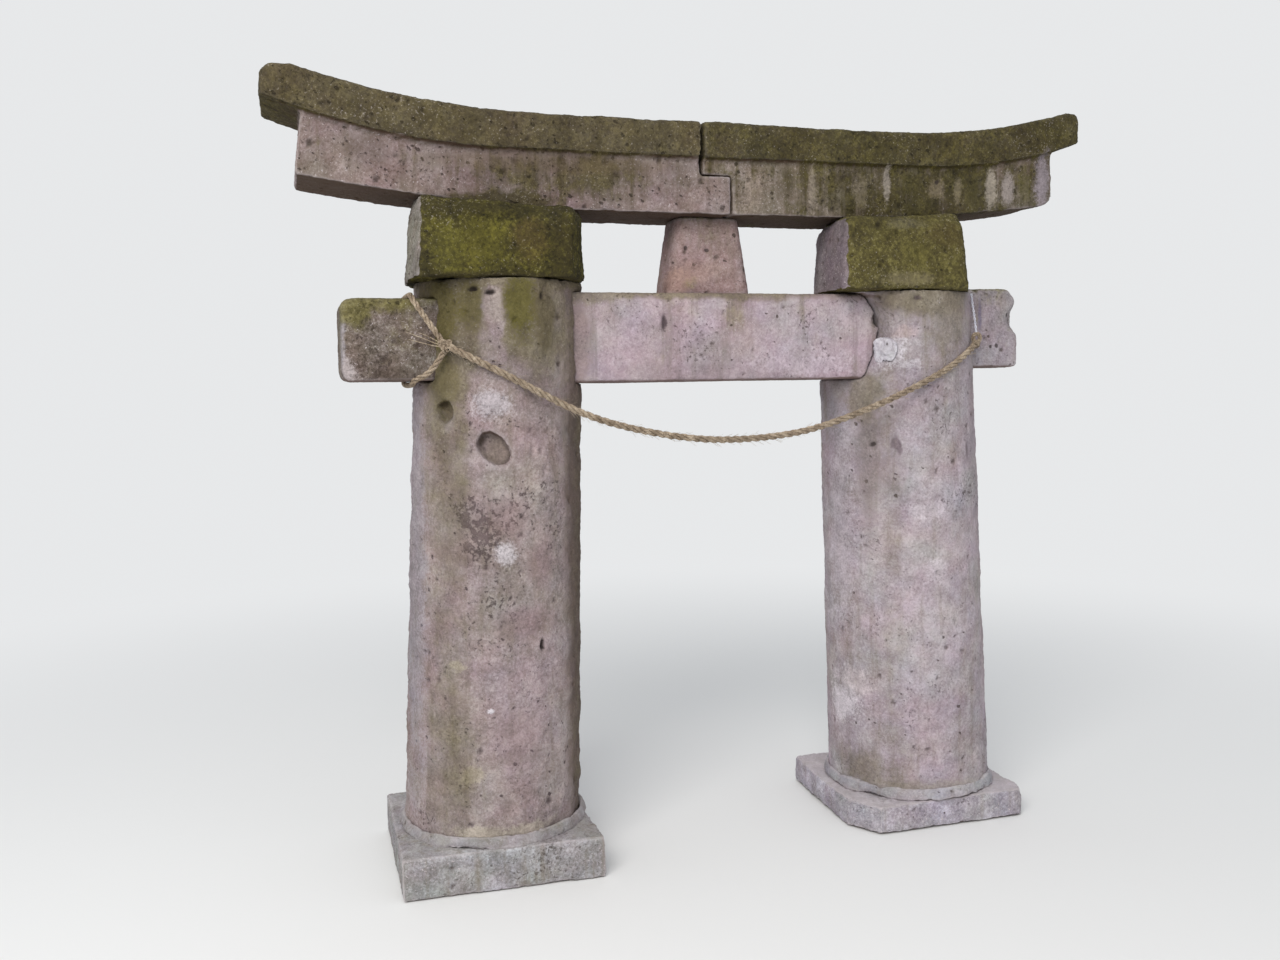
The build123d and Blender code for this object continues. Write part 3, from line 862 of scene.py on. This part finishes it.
pillarLeft = {
    "wave": 0.026, "waveSize": 0.11, "grain": 0.014, "speckDark": 0.72, "bumpDepth": 0.009,
    "mossStrength": 0.75, "pits": 0.07,
    "seed": (3.1, 0.4, 1.2), "dark": (72, 58, 60),
    "tones": ((126, 112, 108), (160, 145, 144), (192, 177, 177)),
    "moss": ((76, 68, 44), (110, 101, 74), (142, 133, 106)), "mossPit": (52, 44, 26),
    "mossEdge": (1.0, 1.62),
    "mossOver": pillarMoss(
        -1, gate["plinthTopLeft"], [(-0.74, 0.42, 0.24), (1.2, 0.4, 0.22), (-2.4, 0.5, 0.15)],
    ),
    "dents": [
        ((-0.623, -0.26, 0.751), (0.009, 0.05, 0.03), 0.014),
        ((-0.811, -0.238, 1.854), (0.022, 0.05, 0.011), 0.02),
        ((-0.76, -0.258, 1.844), (0.022, 0.05, 0.011), 0.02),
        ((-0.596, -0.251, 1.834), (0.012, 0.05, 0.02), 0.012),
        ((-0.86, -0.24, 1.12), (0.09, 0.09, 0.1), 0.006),
        ((-0.64, -0.27, 1.36), (0.012, 0.05, 0.03), 0.008),
        ((-0.6, -0.26, 1.3), (0.012, 0.05, 0.02), 0.008),
    ],
    "mossSpots": [
        ((-0.88, -0.18, 1.8), (0.13, 0.2, 0.26), 0.95),
        ((-0.677, -0.268, 1.81), (0.07, 0.12, 0.16), 1.0),
        ((-0.58, -0.25, 1.72), (0.14, 0.1, 0.22), 0.5),
        ((-0.7, -0.2, 1.9), (0.4, 0.4, 0.045), 0.9),
        ((-0.91, -0.17, 1.42), (0.08, 0.2, 0.35), 0.3),
        ((-0.86, -0.22, 0.4), (0.12, 0.1, 0.28), 0.22),
        ((-0.745, -0.262, 1.8), (0.04, 0.1, 0.1), -0.7),
        ((-0.77, -0.263, 1.504), (0.09, 0.1, 0.07), -0.7),
    ],
    "roughSpots": [
        ((-0.84, -0.24, 1.2), (0.09, 0.1, 0.12), 0.11),
        ((-0.83, -0.25, 1.07), (0.12, 0.1, 0.08), 0.11),
        ((-0.73, -0.27, 1.17), (0.1, 0.1, 0.12), 0.09),
        ((-0.62, -0.26, 1.3), (0.1, 0.1, 0.16), 0.08),
        ((-0.6, -0.26, 1.05), (0.08, 0.1, 0.16), 0.07),
        ((-0.7, -0.28, 0.86), (0.16, 0.1, 0.12), 0.09),
    ],
    "marks": [
        ((-0.77, -0.263, 1.504), (0.085, 0.1, 0.06), (202, 194, 200), 0.7),
        ((-0.745, -0.262, 1.8), (0.035, 0.1, 0.09), (172, 160, 152), 0.6),
        ((-0.838, -0.246, 1.169), (0.11, 0.08, 0.13), (126, 108, 108), 0.3),
        ((-0.883, -0.222, 1.061), (0.09, 0.08, 0.08), (122, 106, 96), 0.3),
        ((-0.75, -0.28, 0.175), (0.26, 0.12, 0.032), (182, 172, 154), 0.6),
        ((-0.735, -0.275, 1.152), (0.09, 0.08, 0.08), (136, 112, 108), 0.4),
        ((-0.62, -0.26, 1.0), (0.06, 0.08, 0.12), (142, 118, 118), 0.35),
        ((-0.681, -0.276, 0.838), (0.13, 0.08, 0.07), (136, 112, 114), 0.4),
        ((-0.707, -0.282, 0.463), (0.1, 0.08, 0.12), (140, 119, 124), 0.35),
        ((-0.89, -0.198, 1.45), (0.035, 0.06, 0.035), (188, 178, 180), 0.6),
        ((-0.886, -0.234, 0.704), (0.03, 0.06, 0.03), (186, 176, 150), 0.5),
        ((-0.85, -0.25, 0.36), (0.06, 0.06, 0.035), (192, 180, 154), 0.45),
        ((-0.99, -0.05, 1.1), (0.06, 0.14, 1.3), (146, 142, 152), 0.5),
        # Painted shade down the right flank, which turns from the light, over the algae there
        ((-0.475, -0.13, 1.0), (0.095, 0.14, 1.8), (96, 82, 72), 0.85),
    ],
    "algae": [
        ((-0.9, -0.17, 1.79), (0.08, 0.2, 0.18), (88, 80, 36), 0.8),
        ((-0.815, -0.22, 1.81), (0.055, 0.2, 0.13), (86, 78, 36), 0.7),
        ((-0.672, -0.268, 1.81), (0.07, 0.12, 0.16), (92, 86, 34), 0.85),
        ((-0.59, -0.25, 1.77), (0.05, 0.12, 0.16), (88, 78, 48), 0.6),
        ((-0.9, -0.18, 1.58), (0.06, 0.2, 0.12), (100, 91, 52), 0.6),
        ((-0.72, -0.2, 1.925), (0.36, 0.4, 0.035), (66, 58, 30), 0.6),
    ],
    "stainsAndShade": [
        ((-0.735, -0.277, 1.044), (0.05, 0.08, 0.056), (214, 206, 210), 0.9),
        ((-0.794, -0.277, 0.559), (0.016, 0.05, 0.01), (220, 214, 220), 0.9),
        ((-0.755, -0.232, 1.362), (0.06, 0.026, 0.06), (134, 120, 110), 0.6),
        ((-0.79, -0.24, 1.395), (0.026, 0.036, 0.026), (76, 62, 54), 0.7),
        ((-0.884, -0.163, 1.488), (0.032, 0.026, 0.034), (98, 86, 64), 0.7),
        ((-0.896, -0.158, 1.503), (0.022, 0.03, 0.02), (58, 48, 32), 0.8),
        ((-0.623, -0.26, 0.751), (0.009, 0.05, 0.028), pitShade, 0.95),
        ((-0.811, -0.238, 1.854), (0.021, 0.05, 0.012), pitShade, 0.9),
        ((-0.76, -0.258, 1.844), (0.021, 0.05, 0.012), pitShade, 0.9),
        ((-0.596, -0.251, 1.834), (0.01, 0.05, 0.018), pitShade, 0.6),
    ],
}
makeStone("pillar_left", pillarLeft)

pillarRight = {
    "wave": 0.016, "waveSize": 0.16, "grain": 0.011, "bumpDepth": 0.007, "mossStrength": 0.65,
    "pits": 0.04,
    "seed": (7.7, 2.1, 4.2), "tones": ((142, 130, 132), (174, 162, 167), (202, 191, 197)),
    "moss": ((88, 80, 56), (120, 110, 86), (150, 141, 118)), "mossPit": (62, 54, 38),
    "mossEdge": (1.0, 1.62),
    "mossOver": pillarMoss(
        1, gate["plinthTopRight"], [(-0.62, 0.2, 0.2), (1.3, 0.35, 0.25), (2.5, 0.5, 0.15)],
    ),
    "dents": [
        ((0.629, -0.238, 1.339), (0.016, 0.05, 0.045), 0.01),
        ((0.565, -0.187, 1.342), (0.014, 0.05, 0.014), 0.012),
        ((0.694, -0.262, 1.836), (0.022, 0.05, 0.014), 0.01),
        ((0.64, -0.26, 1.655), (0.05, 0.06, 0.04), 0.006),
    ],
    "mossSpots": [
        ((0.545, -0.159, 1.5), (0.05, 0.14, 0.1), 1.0),
        ((0.82, -0.255, 1.78), (0.12, 0.12, 0.18), 0.55),
        ((0.7, -0.266, 1.83), (0.16, 0.12, 0.05), 0.45),
        ((0.53, -0.19, 0.19), (0.1, 0.2, 0.09), 0.7),
    ],
    "marks": [
        ((0.514, -0.05, 0.41), (0.07, 0.12, 0.1), (214, 206, 212), 0.8),
        ((0.54, -0.1, 0.5), (0.08, 0.12, 0.06), (200, 188, 190), 0.5),
        ((0.719, -0.271, 1.115), (0.1, 0.08, 0.035), (204, 194, 200), 0.55),
        ((0.76, -0.27, 0.9), (0.05, 0.08, 0.05), (204, 194, 200), 0.5),
        ((0.7, -0.25, 0.135), (0.3, 0.2, 0.034), (160, 150, 140), 0.6),
        ((0.558, -0.18, 1.32), (0.04, 0.1, 0.34), (128, 116, 110), 0.55),
        ((0.75, -0.25, 1.84), (0.3, 0.2, 0.09), (122, 110, 96), 0.55),
        ((0.646, -0.248, 1.72), (0.06, 0.08, 0.03), (190, 166, 164), 0.35),
        # Painted shade inside the socket
        ((0.629, -0.238, 1.339), (0.018, 0.05, 0.045), (100, 84, 92), 0.7),
        ((0.62, -0.22, 1.25), (0.06, 0.08, 0.1), (140, 124, 132), 0.45),
        ((0.49, -0.05, 1.4), (0.05, 0.13, 0.16), (140, 136, 144), 0.4),
        ((0.505, -0.07, 1.05), (0.04, 0.1, 0.5), (190, 180, 188), 0.6),
        ((0.48, -0.03, 0.75), (0.04, 0.12, 0.5), (178, 170, 178), 0.4),
        # Painted shade down the right flank, which turns from the light
        ((0.935, -0.14, 1.1), (0.05, 0.1, 1.2), (128, 116, 118), 0.45),
    ],
    "algae": [
        ((0.6, -0.225, 1.65), (0.085, 0.08, 0.075), paleLichen, 0.8),
        ((0.665, -0.255, 1.612), (0.055, 0.06, 0.022), paleLichen, 0.55),
    ],
    "stainsAndShade": [
        ((0.646, -0.25, 1.7), (0.02, 0.05, 0.007), paleLichen, 0.6),
        ((0.685, -0.26, 1.625), (0.03, 0.05, 0.009), paleLichen, 0.5),
        ((0.565, -0.187, 1.342), (0.012, 0.05, 0.012), pitShade, 0.8),
        # Painted shade inside the dent
        ((0.694, -0.262, 1.836), (0.02, 0.05, 0.012), (96, 84, 84), 0.85),
        ((0.905, -0.22, 1.313), (0.012, 0.07, 0.05), (96, 84, 84), 0.6),
    ],
}
makeStone("pillar_right", pillarRight)

tieBeam = {
    "voxel": 0.007, "wave": 0.006, "pitShare": 0.08, "pits": 0.06, "specks": 0.02, "streaks": 0.6,
    "mossStreak": 0.8, "mossStrength": 0.5,
    "seed": (1.7, 5.1, 2.2), "tones": ((146, 130, 134), (173, 156, 162), (196, 181, 187)),
    "streakColour": (140, 127, 128), "mossEdge": (1.0, 1.6),
    "dents": onFace(
        -0.155,
        (-0.172, 1.757, 0.014, 0.05, 0.042, 0.016),
        (0.6, 1.77, 0.03, 0.08, 0.03, 0.012),
        (0.59, 1.6, 0.03, 0.08, 0.03, 0.014),
        (0.6, 1.68, 0.02, 0.08, 0.014, 0.01),
    ),
    "mossSpots": onFace(
        -0.155,
        (-0.43, 1.86, 0.14, 0.1, 0.05, 0.9),
        (-0.05, 1.86, 0.4, 0.06, 0.03, 0.5),
        (0.08, 1.8, 0.05, 0.06, 0.1, 0.4),
    ),
    "marks": onFace(
        -0.155,
        (-0.475, 1.7, 0.07, 0.08, 0.2, (118, 99, 92), 0.6),
        (0.1, 1.855, 0.7, 0.08, 0.03, (132, 116, 112), 0.7),
        (0.3, 1.62, 0.25, 0.05, 0.05, (192, 178, 188), 0.5),
        (-0.1, 1.6, 0.35, 0.05, 0.04, (150, 134, 138), 0.4),
    ),
    "stainsAndShade": onFace(
        -0.155,
        # Painted shade inside the dent
        (-0.172, 1.757, 0.011, 0.05, 0.038, (74, 62, 66), 0.85),
        (-0.482, 1.659, 0.007, 0.05, 0.007, pitShade, 0.9),
    ),
}
makeStone("tie_beam", tieBeam)

tieStubLeft = {
    "voxel": 0.0065, "wave": 0.006, "pitShare": 0.3, "pits": 0.2, "specks": 0.04, "bits": 0.7,
    "streaks": 0.4,
    "seed": (2.7, 4.1, 8.2), "tones": ((70, 60, 50), (118, 106, 98), (172, 163, 158)),
    "streakColour": (84, 74, 62), "mossEdge": (1.0, 1.5),
    "mossSpots": onFace(
        -0.145,
        (-1.16, 1.8, 0.07, 0.1, 0.06, 0.7),
        (-1.05, 1.82, 0.12, 0.1, 0.03, 0.4),
    ),
    "marks": onFace(
        -0.145,
        (-1.19, 1.62, 0.05, 0.08, 0.04, (184, 174, 174), 0.7),
        (-1.2, 1.72, 0.022, 0.08, 0.14, (158, 152, 158), 0.6),
        (-1.04, 1.6, 0.1, 0.08, 0.03, (78, 66, 54), 0.5),
    ),
}
makeStone("tie_stub_left", tieStubLeft)

tieStubRight = {
    "voxel": 0.0065, "wave": 0.01, "grain": 0.007, "chipWear": 1.6, "pits": 0.14,
    "seed": (5.7, 1.1, 3.2), "tones": ((126, 116, 120), (156, 146, 150), (184, 175, 180)),
    "dents": onFace(
        -0.138,
        (1.175, 1.775, 0.06, 0.16, 0.062, 0.028),
        (1.175, 1.87, 0.06, 0.2, 0.08, 0.008),
        (1.08, 1.845, 0.03, 0.05, 0.04, 0.01),
        (1.12, 1.7, 0.05, 0.05, 0.03, 0.006),
    ),
    "stainsAndShade": onFace(
        -0.138,
        (1.059, 1.676, 0.009, 0.05, 0.009, pitShade, 0.85),
        (1.083, 1.678, 0.01, 0.05, 0.011, pitShade, 0.85),
        (1.132, 1.788, 0.01, 0.05, 0.012, pitShade, 0.8),
        # A bluish strip of painted shade near the stub's root
        (1.016, 1.79, 0.012, 0.05, 0.08, (104, 98, 128), 0.55),
    ),
}
makeStone("tie_stub_right", tieStubRight)

strut = {
    "voxel": 0.0065, "wave": 0.01, "outward": 0.85,
    "seed": (6.7, 9.1, 3.2), "tones": ((122, 100, 94), (152, 130, 128), (178, 158, 158)),
    "dents": onFace(
        -0.085,
        (-0.072, 2.009, 0.012, 0.05, 0.012, 0.01),
        (0.002, 2.004, 0.012, 0.05, 0.012, 0.01),
    ),
    "marks": onFace(
        -0.085,
        (-0.122, 1.897, 0.09, 0.09, 0.07, (162, 130, 114), 0.5),
        (-0.04, 1.93, 0.1, 0.09, 0.05, (158, 130, 118), 0.4),
    ),
    "stainsAndShade": onFace(
        -0.085,
        (-0.072, 2.009, 0.01, 0.05, 0.01, pitShade, 0.8),
        (0.002, 2.004, 0.01, 0.05, 0.01, pitShade, 0.8),
    ),
}
makeStone("strut", strut)

capLeft = {
    "voxel": 0.0065, "wave": 0.026, "waveSize": 0.13, "grain": 0.014, "edgeWear": 0.6,
    "pitShare": 0.3, "specks": 0.055, "bits": 0.6, "pits": 0.2, "mossStrength": 0.95,
    "seed": (2.2, 6.1, 7.2), "tones": ((94, 88, 74), (116, 110, 100), (150, 144, 138)),
    "moss": ((26, 22, 2), (60, 54, 11), (107, 101, 32)), "mossPit": (24, 20, 8),
    "mossOver": capMoss,
    "marks": [((-0.767, -0.22, 2.055), (0.02, 0.06, 0.012), (160, 152, 130), 0.5)],
    "stainsAndShade": [
        ((-0.775, -0.25, 1.99), (0.1, 0.1, 0.14), (104, 98, 36), 0.4),
        ((-0.88, -0.25, 1.97), (0.07, 0.1, 0.11), (90, 86, 34), 0.3),
        ((-0.63, -0.25, 2.0), (0.08, 0.1, 0.1), (88, 72, 40), 0.4),
        ((-0.53, -0.25, 1.98), (0.06, 0.1, 0.14), (58, 50, 26), 0.5),
        ((-0.74, -0.25, 2.1), (0.3, 0.1, 0.026), (52, 46, 22), 0.5),
        ((-0.72, -0.27, 1.893), (0.3, 0.1, 0.016), (60, 52, 28), 0.5),
    ],
}
makeStone("cap_left", capLeft)

capRight = {
    "voxel": 0.0065, "wave": 0.02, "waveSize": 0.14, "grain": 0.012, "edgeWear": 0.5,
    "pitShare": 0.25, "specks": 0.03, "bits": 0.6, "mossStrength": 0.93, "pits": 0.14,
    "seed": (8.2, 3.3, 1.9), "tones": ((96, 86, 90), (120, 108, 112), (142, 130, 134)),
    "moss": ((42, 37, 8), (79, 72, 27), (122, 115, 58)), "mossPit": (36, 30, 12),
    "mossOver": capMoss,
    "stainsAndShade": [
        ((0.66, -0.27, 1.9), (0.14, 0.1, 0.035), (128, 118, 92), 0.45),
        ((0.69, -0.25, 1.99), (0.08, 0.1, 0.06), (104, 97, 46), 0.4),
        ((0.82, -0.25, 2.05), (0.1, 0.1, 0.06), (70, 58, 30), 0.5),
        ((0.66, -0.25, 2.09), (0.1, 0.1, 0.03), (104, 98, 80), 0.4),
    ],
}
makeStone("cap_right", capRight)

lintelLeft = {
    "voxel": 0.007, "wave": 0.01, "waveSize": 0.14, "outward": 0.2, "grain": 0.009,
    "pitShare": 0.34, "pits": 0.42, "specks": 0.025, "bits": 0.6, "streaks": 0.45,
    "mossStreak": 0.6,
    "seed": (4.4, 2.2, 6.6), "tones": ((106, 90, 83), (133, 118, 114), (162, 148, 147)),
    # The colour for faces turned down is painted shade
    "dark": (52, 41, 36), "under": (70, 51, 35), "streakColour": (98, 84, 72),
    "moss": ((36, 31, 8), (67, 60, 27), (99, 90, 50)), "mossPit": (34, 28, 16),
    "mossOver": lintelMoss(0.05),
    "dents": [((-1.41, 0, 2.53), (0.13, 0.6, 0.05), 0.022), jointSwell],
    "mossSpots": onFace(
        -0.15,
        (-0.7, 2.13, 0.18, 0.1, 0.04, 0.8),
        (-0.45, 2.22, 0.4, 0.1, 0.1, 0.4),
        (-0.2, 2.2, 0.1, 0.1, 0.1, -0.1),
    ),
    "algae": onFace(
        -0.32,
        (-1.3, 2.45, 0.08, 0.1, 0.05, (110, 97, 70), 0.4),
        (-0.79, 2.35, 0.14, 0.1, 0.06, (70, 66, 28), 0.45),
        (-0.5, 2.34, 0.08, 0.1, 0.05, (98, 84, 58), 0.35),
        (-0.18, 2.345, 0.15, 0.1, 0.05, (104, 93, 52), 0.4),
    ),
    "stainsAndShade": onFace(
        -0.15,
        (-0.55, 2.255, 0.55, 0.04, 0.045, (92, 78, 58), 0.5),
        (-1.1, 2.27, 0.1, 0.04, 0.07, (98, 84, 82), 0.4),
    ),
}
makeStone("lintel_left", lintelLeft)

lintelRight = {
    "voxel": 0.007, "wave": 0.01, "waveSize": 0.14, "outward": 0.2, "grain": 0.009,
    "pitShare": 0.28, "pits": 0.3, "specks": 0.03, "bits": 0.6, "mossStreak": 1.0,
    "seed": (9.4, 7.2, 2.6), "tones": ((92, 80, 66), (122, 110, 98), (160, 148, 142)),
    # The colour for faces turned down is painted shade
    "dark": (54, 46, 36), "under": (66, 48, 33), "moss": ((28, 24, 3), (57, 51, 10), (93, 85, 30)),
    "mossPit": (30, 26, 12),
    "mossOver": lintelMoss(0.25),
    "dents": [jointSwell],
    "mossSpots": onFace(
        -0.15,
        (0.8, 2.2, 0.45, 0.1, 0.16, 0.26),
        (0.2, 2.2, 0.16, 0.1, 0.16, -0.1),
    ),
    "algae": onFace(
        -0.32,
        (0.12, 2.34, 0.06, 0.1, 0.05, (104, 92, 54), 0.4),
        (0.3, 2.34, 0.07, 0.1, 0.05, (58, 50, 26), 0.4),
        (0.77, 2.345, 0.1, 0.1, 0.06, (54, 48, 20), 0.5),
        (0.97, 2.36, 0.03, 0.1, 0.06, (112, 100, 66), 0.5),
        (1.06, 2.37, 0.05, 0.1, 0.06, (56, 50, 22), 0.5),
        (1.3, 2.42, 0.07, 0.1, 0.04, (106, 94, 36), 0.5),
    ),
    "stainsAndShade": onFace(
        -0.15,
        (0.64, 2.24, 0.02, 0.04, 0.1, (160, 150, 140), 0.7),
        (0.829, 2.222, 0.05, 0.04, 0.05, (142, 128, 106), 0.55),
        (0.833, 2.246, 0.012, 0.04, 0.012, pitShade, 0.9),
        (0.916, 2.221, 0.024, 0.04, 0.07, (140, 128, 106), 0.45),
        (1.05, 2.225, 0.03, 0.04, 0.09, (160, 150, 138), 0.7),
        (1.119, 2.228, 0.032, 0.04, 0.08, (152, 142, 138), 0.75),
        (1.188, 2.25, 0.035, 0.04, 0.1, (92, 86, 48), 0.5),
        (1.262, 2.268, 0.046, 0.2, 0.14, (146, 136, 142), 0.85),
        (0.15, 2.19, 0.05, 0.04, 0.08, (156, 140, 128), 0.4),
        (0.36, 2.2, 0.025, 0.04, 0.1, (156, 144, 130), 0.55),
        (0.26, 2.22, 0.05, 0.04, 0.08, (76, 66, 44), 0.4),
        (0.46, 2.2, 0.05, 0.04, 0.1, (82, 72, 46), 0.35),
        (0.54, 2.2, 0.04, 0.04, 0.09, (140, 128, 106), 0.35),
        (0.73, 2.2, 0.05, 0.04, 0.12, (74, 68, 36), 0.4),
        (0.98, 2.2, 0.04, 0.04, 0.12, (70, 64, 34), 0.5),
    ),
}
makeStone("lintel_right", lintelRight)

plinthLeft = {
    "wave": 0.01, "waveSize": 0.12, "outward": 0.0, "grain": 0.01, "chipWear": 1.6, "specks": 0.03,
    # Painted light on the top
    "streaks": 0.5, "mossStrength": 0.55, "paintedTopLight": 0.15, "rim": 0.7, "bits": 0.9, "pits": 0.05,
    "seed": (1.4, 1.2, 9.6), "tones": ((112, 108, 104), (153, 149, 150), (194, 192, 196)),
    "moss": ((96, 94, 72), (126, 124, 104), (152, 150, 134)), "mossEdge": (1.0, 1.6),
    "mossOver": cementMoss,
}
makeStone("plinth_left", plinthLeft)

plinthRight = {
    "wave": 0.014, "waveSize": 0.1, "outward": 0.0, "grain": 0.012, "edgeWear": 0.6,
    # Painted light on the top
    "chipWear": 2.0, "specks": 0.03, "mossStrength": 0.5, "paintedTopLight": 0.6, "rim": 0.9, "bits": 0.95,
    "pits": 0.04,
    "seed": (3.4, 8.2, 5.6), "tones": ((128, 122, 129), (170, 164, 172), (212, 208, 217)),
    "moss": ((106, 104, 88), (140, 138, 124), (166, 164, 152)), "mossEdge": (1.0, 1.6),
    "mossOver": cementMoss,
}
makeStone("plinth_right", plinthRight)

mortarCollarLeft = {
    **collar,
    "seed": (4.1, 2.6, 1.1), "tones": ((130, 124, 122), (155, 150, 151), (180, 176, 178)),
}
makeStone("mortar_collar_left", mortarCollarLeft)

mortarCollarRight = {
    **collar,
    "seed": (6.1, 1.6, 2.1), "tones": ((136, 130, 134), (161, 156, 162), (186, 181, 187)),
}
makeStone("mortar_collar_right", mortarCollarRight)

mortarPatch = {
    "voxel": 0.0035, "wave": 0.04, "waveSize": 0.03, "outward": 0.44, "grain": 0.006,
    "pitSize": 0.015, "pitDepth": 0.003, "edgeWear": 0.8, "chipWear": 1.5, "easeReach": 0.009,
    "streaks": 0.1, "mossStrength": 0.3, "pits": 0.05, "specks": -0.04,
    "seed": (2.4, 0.6, 3.1), "tones": ((168, 163, 168), (194, 190, 197), (216, 212, 218)),
    "mossOver": cementMoss,
}
makeStone("mortar_patch", mortarPatch)

print("stones done")


def makeFloor():
    shape = bmesh.new()
    bmesh.ops.create_grid(shape, x_segments=1, y_segments=1, size=light["floorHalf"])
    mesh = meshFrom(shape, "floor")
    material, g = newMaterial("floorFinish")
    inputs = {"Base Color": light["floorColour"], "Roughness": 0.9}
    plain = g.add("ShaderNodeBsdfPrincipled", inputs)
    far = g.add("ShaderNodeEmission", {"Color": light["backdrop"], "Strength": 1.0})
    away = g.vector("LENGTH", g.read("ShaderNodeTexCoord", "Object"))
    fade = g.ease(away, light["floorFadesFrom"], light["floorFadesTo"])
    seen = g.read("ShaderNodeLightPath", "Is Camera Ray")
    inputs = {0: fade * seen, 1: plain, 2: far}
    both = g.add("ShaderNodeMixShader", inputs)
    g.add("ShaderNodeOutputMaterial", {0: both})
    mesh.materials.append(material)
    linked("floor", mesh)


makeFloor()
